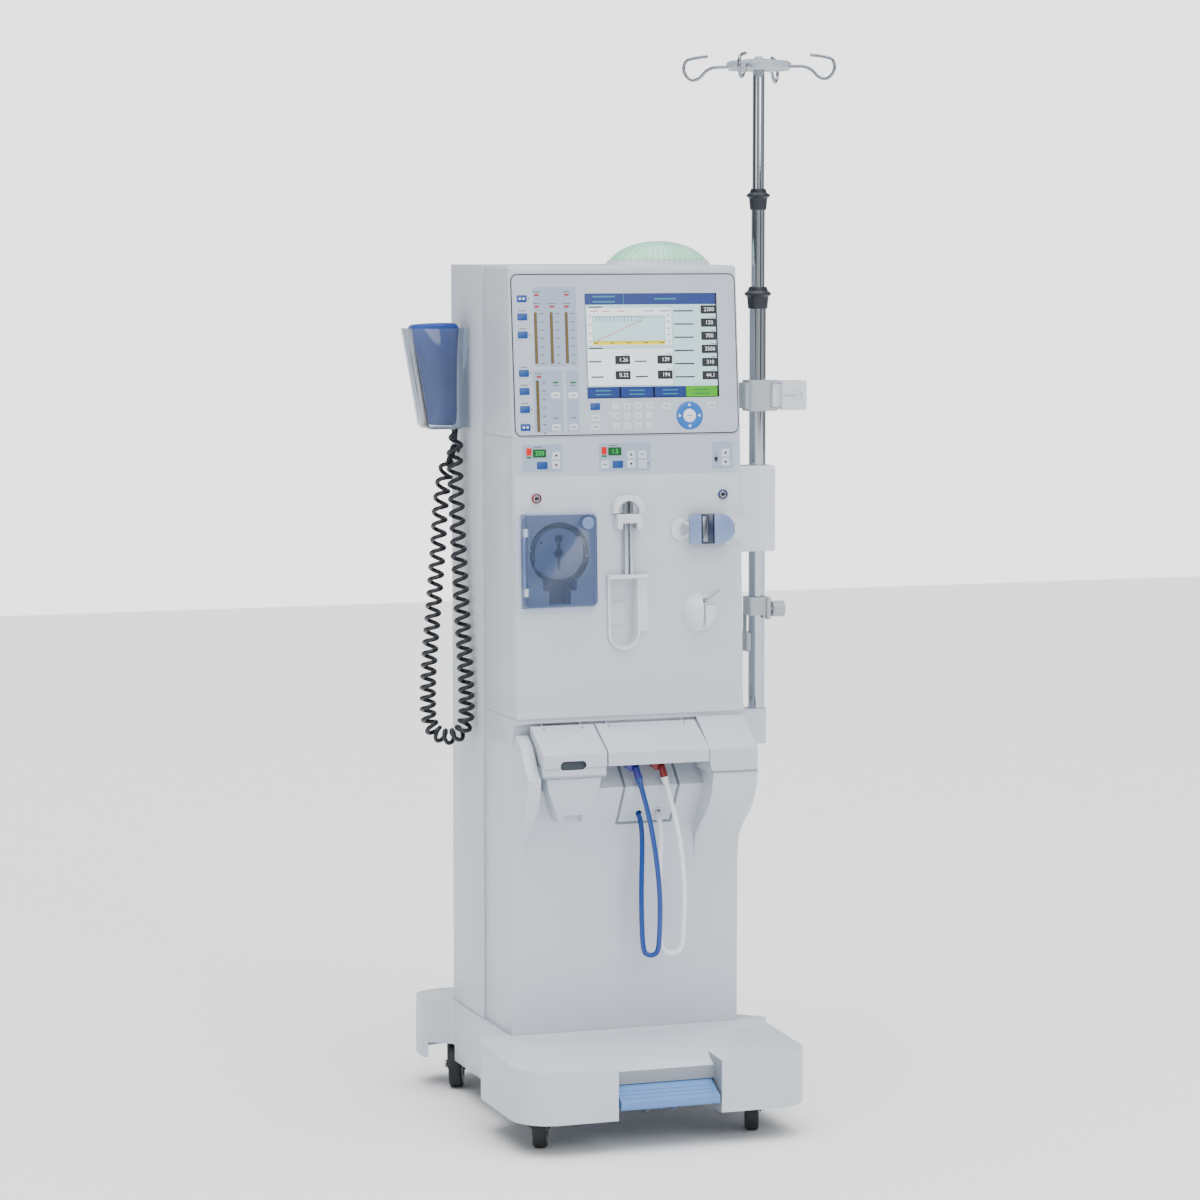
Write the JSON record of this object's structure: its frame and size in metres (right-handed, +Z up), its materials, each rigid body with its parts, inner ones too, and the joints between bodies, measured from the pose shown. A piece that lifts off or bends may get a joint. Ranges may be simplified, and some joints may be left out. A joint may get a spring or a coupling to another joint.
{
  "type": "dialysis machine",
  "caption": "Haemodialysis machine on casters with console, blood pump, syringe pump, covers, infusion pole, cuff basket and curly cuff hose.",
  "frame": {"origin": "on the floor under the middle of the machine's overall footprint, cords left out", "axes": "+Z up, -Y towards the operator (the side with the console), +X towards the infusion pole"},
  "size_m": [0.6181, 0.615, 1.6555],
  "materials": {
    "shell_plastic": "satin",
    "cover_grey": "satin",
    "steel_frame": "satin",
    "pedal_blue": "satin",
    "panel_foil": "satin",
    "display_glass": "gloss",
    "lamp_green": "satin",
    "inner_plastic": "matte",
    "inner_steel": "matte",
    "rotor_blue": "satin",
    "roller_steel": "satin",
    "door_clear": "gloss",
    "knob_dark": "satin",
    "port_metal": "satin",
    "chrome": "polished",
    "gasket_rubber": "matte",
    "coupling_blue": "gloss",
    "coupling_red": "gloss",
    "tube_blue": "satin",
    "tube_white": "satin",
    "hook_alloy": "satin",
    "basket_clear": "gloss",
    "cuff_fabric": "matte",
    "hose_black": "satin",
    "fork_plastic": "satin",
    "tyre_rubber": "matte"
  },
  "bodies": {
    "machine": {"base_cover": "shell_plastic", "base_frame": "steel_frame", "lower_front_cover": "shell_plastic", "rear_cover": "shell_plastic", "module_housing": "shell_plastic", "module_panel": "panel_foil", "monitor_housing": "shell_plastic", "console_panel": "panel_foil", "display_screen": "display_glass", "status_lamp": "lamp_green", "hydraulic_block": "inner_plastic", "electronics_rack": "inner_steel", "pump_motor": "inner_steel", "pump_housing": "shell_plastic", "pressure_ports": "port_metal", "heparin_guide": "chrome", "heparin_cradle": "shell_plastic", "air_detector_body": "shell_plastic", "clamp_body": "cover_grey", "right_cover": "shell_plastic", "cartridge_holder": "cover_grey", "connector_panel": "cover_grey", "panel_gasket": "gasket_rubber", "blue_coupling": "coupling_blue", "red_coupling": "coupling_red", "blue_tube": "tube_blue", "white_tube": "tube_white", "pole_lower_tube": "chrome", "pole_bracket": "cover_grey", "cuff_basket": "basket_clear", "pressure_cuff": "cuff_fabric", "hose_connector": "knob_dark", "cuff_hose": "hose_black"},
    "left_flap": {"left_flap": "shell_plastic"},
    "centre_flap": {"centre_flap": "shell_plastic"},
    "pump_door": {"pump_door": "door_clear"},
    "door_knob": {"door_knob": "knob_dark"},
    "pump_rotor": {"pump_rotor": "rotor_blue", "rotor_crank": "rotor_blue"},
    "roller_1": {"pump_roller_1": "roller_steel"},
    "roller_2": {"pump_roller_2": "roller_steel"},
    "heparin_slider": {"heparin_slider": "cover_grey"},
    "detector_cover": {"detector_cover": "cover_grey"},
    "clamp_lever": {"clamp_lever": "chrome"},
    "pole_middle": {"pole_middle_tube": "chrome"},
    "pole_top": {"pole_top_tube": "chrome", "hook_head": "hook_alloy"},
    "holder_body": {"holder_body": "cover_grey"},
    "holder_arm": {"holder_arm": "cover_grey"},
    "small_clamp": {"small_clamp": "cover_grey"},
    "clamp_knob": {"clamp_knob": "knob_dark"},
    "brake_pedal": {"brake_pedal": "pedal_blue"},
    "front_left_fork": {"front_left_fork": "fork_plastic"},
    "front_left_wheel": {"front_left_wheel": "tyre_rubber"},
    "front_right_fork": {"front_right_fork": "fork_plastic"},
    "front_right_wheel": {"front_right_wheel": "tyre_rubber"},
    "rear_left_fork": {"rear_left_fork": "fork_plastic"},
    "rear_left_wheel": {"rear_left_wheel": "tyre_rubber"},
    "rear_right_fork": {"rear_right_fork": "fork_plastic"},
    "rear_right_wheel": {"rear_right_wheel": "tyre_rubber"}
  },
  "joints": [
    {"name": "front_left_swivel", "type": "hinge", "parent": "machine", "child": "front_left_fork", "pos_m": [-0.19506, -0.2025, 0.098], "axis": [0, 0, 1], "continuous": true},
    {"name": "front_left_axle", "type": "hinge", "parent": "front_left_fork", "child": "front_left_wheel", "pos_m": [-0.20255, -0.22104, 0.037], "axis": [0.9272, -0.3746, 0], "continuous": true},
    {"name": "front_right_swivel", "type": "hinge", "parent": "machine", "child": "front_right_fork", "pos_m": [0.14894, -0.2025, 0.098], "axis": [0, 0, 1], "continuous": true},
    {"name": "front_right_axle", "type": "hinge", "parent": "front_right_fork", "child": "front_right_wheel", "pos_m": [0.14145, -0.22104, 0.037], "axis": [0.9272, -0.3746, 0], "continuous": true},
    {"name": "rear_left_swivel", "type": "hinge", "parent": "machine", "child": "rear_left_fork", "pos_m": [-0.19506, 0.2295, 0.098], "axis": [0, 0, 1], "continuous": true},
    {"name": "rear_left_axle", "type": "hinge", "parent": "rear_left_fork", "child": "rear_left_wheel", "pos_m": [-0.20255, 0.21096, 0.037], "axis": [0.9272, -0.3746, 0], "continuous": true},
    {"name": "rear_right_swivel", "type": "hinge", "parent": "machine", "child": "rear_right_fork", "pos_m": [0.14894, 0.2295, 0.098], "axis": [0, 0, 1], "continuous": true},
    {"name": "rear_right_axle", "type": "hinge", "parent": "rear_right_fork", "child": "rear_right_wheel", "pos_m": [0.14145, 0.21096, 0.037], "axis": [0.9272, -0.3746, 0], "continuous": true},
    {"name": "brake_pedal_pivot", "type": "hinge", "parent": "machine", "child": "brake_pedal", "pos_m": [-0.02306, -0.2605, 0.092], "axis": [1, 0, 0], "range_deg": [-4, 10]},
    {"name": "left_flap_hinge", "type": "hinge", "parent": "machine", "child": "left_flap", "pos_m": [-0.13306, -0.1295, 0.626], "axis": [-1, 0, 0], "range_deg": [0, 80]},
    {"name": "centre_flap_hinge", "type": "hinge", "parent": "machine", "child": "centre_flap", "pos_m": [-0.00106, -0.1295, 0.626], "axis": [-1, 0, 0], "range_deg": [0, 80]},
    {"name": "pump_door_hinge", "type": "hinge", "parent": "machine", "child": "pump_door", "pos_m": [-0.19456, -0.12932, 0.88123], "axis": [0, -0.0401, -0.9992], "range_deg": [0, 110]},
    {"name": "door_knob_turn", "type": "hinge", "parent": "pump_door", "child": "door_knob", "pos_m": [-0.09506, -0.12849, 0.93924], "axis": [0, -0.9992, 0.0401], "range_deg": [0, 90]},
    {"name": "pump_rotor_spin", "type": "hinge", "parent": "machine", "child": "pump_rotor", "pos_m": [-0.13906, -0.11835, 0.8928], "axis": [0, -0.9992, 0.0401], "continuous": true},
    {"name": "roller_1_spin", "type": "hinge", "parent": "pump_rotor", "child": "roller_1", "pos_m": [-0.10859, -0.1137, 0.90882], "axis": [0, -0.9992, 0.0401], "continuous": true},
    {"name": "roller_2_spin", "type": "hinge", "parent": "pump_rotor", "child": "roller_2", "pos_m": [-0.16952, -0.115, 0.87645], "axis": [0, -0.9992, 0.0401], "continuous": true},
    {"name": "heparin_slide", "type": "slide", "parent": "machine", "child": "heparin_slider", "axis": [0, 0.0401, 0.9992], "range_m": [-0.065, 0]},
    {"name": "detector_cover_hinge", "type": "hinge", "parent": "machine", "child": "detector_cover", "pos_m": [0.06494, -0.13205, 0.92537], "axis": [0, -0.0401, -0.9992], "range_deg": [0, 100]},
    {"name": "clamp_lever_pivot", "type": "hinge", "parent": "machine", "child": "clamp_lever", "pos_m": [0.09494, -0.13547, 0.81542], "axis": [0, -0.9992, 0.0401], "range_deg": [-30, 45]},
    {"name": "pole_middle_slide", "type": "slide", "parent": "machine", "child": "pole_middle", "axis": [0, 0, 1], "range_m": [-0.1, 0.2]},
    {"name": "pole_top_slide", "type": "slide", "parent": "pole_middle", "child": "pole_top", "axis": [0, 0, 1], "range_m": [-0.1, 0.2]},
    {"name": "holder_slide", "type": "slide", "parent": "machine", "child": "holder_body", "axis": [0, 0, 1], "range_m": [-0.07, 0.1]},
    {"name": "holder_arm_hinge", "type": "hinge", "parent": "holder_body", "child": "holder_arm", "pos_m": [0.23294, -0.0705, 1.127], "axis": [0, 0, 1], "range_deg": [-60, 60]},
    {"name": "small_clamp_slide", "type": "slide", "parent": "machine", "child": "small_clamp", "axis": [0, 0, 1], "range_m": [-0.03, 0.06]},
    {"name": "clamp_knob_turn", "type": "hinge", "parent": "small_clamp", "child": "clamp_knob", "pos_m": [0.23694, -0.081, 0.793], "axis": [1, 0, 0], "range_deg": [0, 180]}
  ]
}
